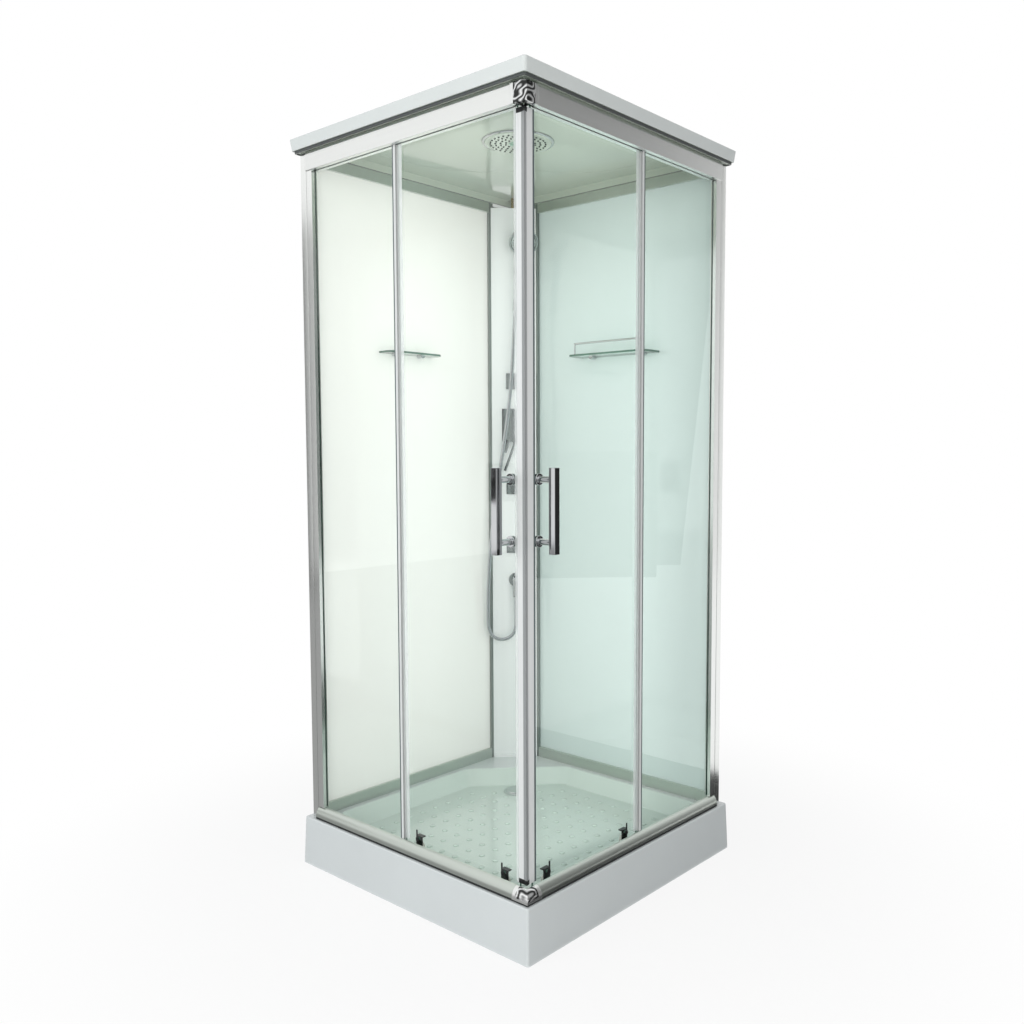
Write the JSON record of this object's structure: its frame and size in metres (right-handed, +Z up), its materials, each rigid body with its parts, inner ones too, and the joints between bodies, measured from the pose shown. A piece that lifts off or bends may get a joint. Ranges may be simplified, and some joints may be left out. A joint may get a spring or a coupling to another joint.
{
  "type": "corner shower enclosure",
  "caption": "Square corner-entry shower enclosure with tray, sliding glass doors, corner fitting column, handset, body jets, shelves and moulded roof with rain shower.",
  "frame": {"origin": "floor under the middle of the tray, on the sole of the centre foot", "axes": "+Z up; the left glazed front faces -Y, the right one +X; the fitting column stands in the -X +Y corner"},
  "size_m": [0.914, 0.914, 2.072],
  "materials": {
    "tray_white": "glossy white acrylic",
    "steel_zinc": "zinc-plated steel",
    "trap_plastic": "moulded white plastic",
    "fitting_chrome": "polished chrome",
    "hose_metal": "ribbed metal sleeve",
    "pipe_brass": "drawn brass",
    "frame_satin": "satin anodised",
    "column_grey": "satin silver sheet",
    "wall_glass": "white-backed tempered glass",
    "front_glass": "clear tempered glass, pale green edge",
    "seal_clear": "clear and white soft plastic",
    "wheel_nylon": "white nylon",
    "carrier_black": "black moulded plastic with chrome caps",
    "roof_white": "glossy white moulded sheet"
  },
  "bodies": {
    "enclosure": {"body_jets": "fitting_chrome", "bottom_rail_left": "frame_satin", "bottom_rail_right": "frame_satin", "column_panel": "column_grey", "corner_connector_bottom": "fitting_chrome", "corner_connector_top": "fitting_chrome", "drain_flange": "fitting_chrome", "drain_trap": "trap_plastic", "fixed_glass_left": "front_glass", "fixed_glass_right": "front_glass", "handset_holder": "fitting_chrome", "hose_outlet": "fitting_chrome", "levelling_feet": "steel_zinc", "mixer_body": "fitting_chrome", "overlap_seal_left": "seal_clear", "overlap_seal_right": "seal_clear", "rain_pipe": "pipe_brass", "rain_shower": "fitting_chrome", "rear_post_left": "frame_satin", "rear_post_right": "frame_satin", "roof": "roof_white", "shelf_fittings": "fitting_chrome", "shelf_glass_left": "front_glass", "shelf_glass_right": "front_glass", "shower_hose": "hose_metal", "side_jamb_left": "frame_satin", "side_jamb_right": "frame_satin", "supply_pipes": "pipe_brass", "top_rail_left": "frame_satin", "top_rail_right": "frame_satin", "tray": "tray_white", "tray_frame": "steel_zinc", "wall_panel_left": "wall_glass", "wall_panel_right": "wall_glass", "wall_post_left": "frame_satin", "wall_post_right": "frame_satin", "wall_rail_bottom_left": "frame_satin", "wall_rail_bottom_right": "frame_satin", "wall_rail_top_left": "frame_satin", "wall_rail_top_right": "frame_satin"},
    "left_door": {"door_glass_left": "front_glass", "magnet_seal_left": "seal_clear", "door_handle_left": "fitting_chrome", "roller_mounts_left": "carrier_black"},
    "right_door": {"door_glass_right": "front_glass", "magnet_seal_right": "seal_clear", "door_handle_right": "fitting_chrome", "roller_mounts_right": "carrier_black"},
    "mixer_lever": {"mixer_lever": "fitting_chrome"},
    "diverter_lever": {"diverter_lever": "fitting_chrome"},
    "handset": {"handset": "fitting_chrome"},
    "drain_cover": {"drain_cover": "fitting_chrome"},
    "top_wheel_far_left": {"top_wheel_far_left": "wheel_nylon"},
    "top_wheel_far_right": {"top_wheel_far_right": "wheel_nylon"},
    "top_wheel_near_left": {"top_wheel_near_left": "wheel_nylon"},
    "top_wheel_near_right": {"top_wheel_near_right": "wheel_nylon"},
    "guide_wheel_far_left": {"guide_wheel_far_left": "wheel_nylon"},
    "guide_wheel_far_right": {"guide_wheel_far_right": "wheel_nylon"},
    "guide_wheel_near_left": {"guide_wheel_near_left": "wheel_nylon"},
    "guide_wheel_near_right": {"guide_wheel_near_right": "wheel_nylon"}
  },
  "joints": [
    {"name": "left_door_slide", "type": "slide", "parent": "enclosure", "child": "left_door", "axis": [-1, 0, 0], "range_m": [0, 0.345]},
    {"name": "right_door_slide", "type": "slide", "parent": "enclosure", "child": "right_door", "axis": [0, 1, 0], "range_m": [0, 0.345]},
    {"name": "top_wheel_far_left_spin", "type": "hinge", "parent": "left_door", "child": "top_wheel_far_left", "pos_m": [0.012, -0.395, 2.008], "axis": [0, 1, 0], "continuous": true},
    {"name": "top_wheel_far_right_spin", "type": "hinge", "parent": "right_door", "child": "top_wheel_far_right", "pos_m": [0.395, -0.012, 2.008], "axis": [1, 0, 0], "continuous": true},
    {"name": "top_wheel_near_left_spin", "type": "hinge", "parent": "left_door", "child": "top_wheel_near_left", "pos_m": [0.328, -0.395, 2.008], "axis": [0, 1, 0], "continuous": true},
    {"name": "top_wheel_near_right_spin", "type": "hinge", "parent": "right_door", "child": "top_wheel_near_right", "pos_m": [0.395, -0.328, 2.008], "axis": [1, 0, 0], "continuous": true},
    {"name": "guide_wheel_far_left_spin", "type": "hinge", "parent": "left_door", "child": "guide_wheel_far_left", "pos_m": [0.012, -0.395, 0.157], "axis": [0, 1, 0], "continuous": true},
    {"name": "guide_wheel_far_right_spin", "type": "hinge", "parent": "right_door", "child": "guide_wheel_far_right", "pos_m": [0.395, -0.012, 0.157], "axis": [1, 0, 0], "continuous": true},
    {"name": "guide_wheel_near_left_spin", "type": "hinge", "parent": "left_door", "child": "guide_wheel_near_left", "pos_m": [0.328, -0.395, 0.157], "axis": [0, 1, 0], "continuous": true},
    {"name": "guide_wheel_near_right_spin", "type": "hinge", "parent": "right_door", "child": "guide_wheel_near_right", "pos_m": [0.395, -0.328, 0.157], "axis": [1, 0, 0], "continuous": true},
    {"name": "mixer_turn", "type": "hinge", "parent": "enclosure", "child": "mixer_lever", "pos_m": [-0.34789, 0.35497, 1.243], "axis": [0.7071, -0.7071, 0], "range_deg": [-60, 45]},
    {"name": "diverter_turn", "type": "hinge", "parent": "enclosure", "child": "diverter_lever", "pos_m": [-0.36557, 0.33729, 1.243], "axis": [0.7071, -0.7071, 0], "range_deg": [-60, 25]},
    {"name": "handset_lift", "type": "slide", "parent": "enclosure", "child": "handset", "axis": [0.1413, 0.0202, 0.9898], "range_m": [0, 0.1], "deforming": ["shower_hose"]},
    {"name": "drain_cover_lift", "type": "slide", "parent": "enclosure", "child": "drain_cover", "axis": [0, 0, 1], "range_m": [0, 0.06]}
  ],
  "couplings": [
    {"joint": "top_wheel_far_left_spin", "follows": "left_door_slide", "rad_per_m": -85.47},
    {"joint": "top_wheel_far_right_spin", "follows": "right_door_slide", "rad_per_m": -85.47},
    {"joint": "top_wheel_near_left_spin", "follows": "left_door_slide", "rad_per_m": -85.47},
    {"joint": "top_wheel_near_right_spin", "follows": "right_door_slide", "rad_per_m": -85.47},
    {"joint": "guide_wheel_far_left_spin", "follows": "left_door_slide", "rad_per_m": -103.09},
    {"joint": "guide_wheel_far_right_spin", "follows": "right_door_slide", "rad_per_m": -103.09},
    {"joint": "guide_wheel_near_left_spin", "follows": "left_door_slide", "rad_per_m": -103.09},
    {"joint": "guide_wheel_near_right_spin", "follows": "right_door_slide", "rad_per_m": -103.09}
  ]
}
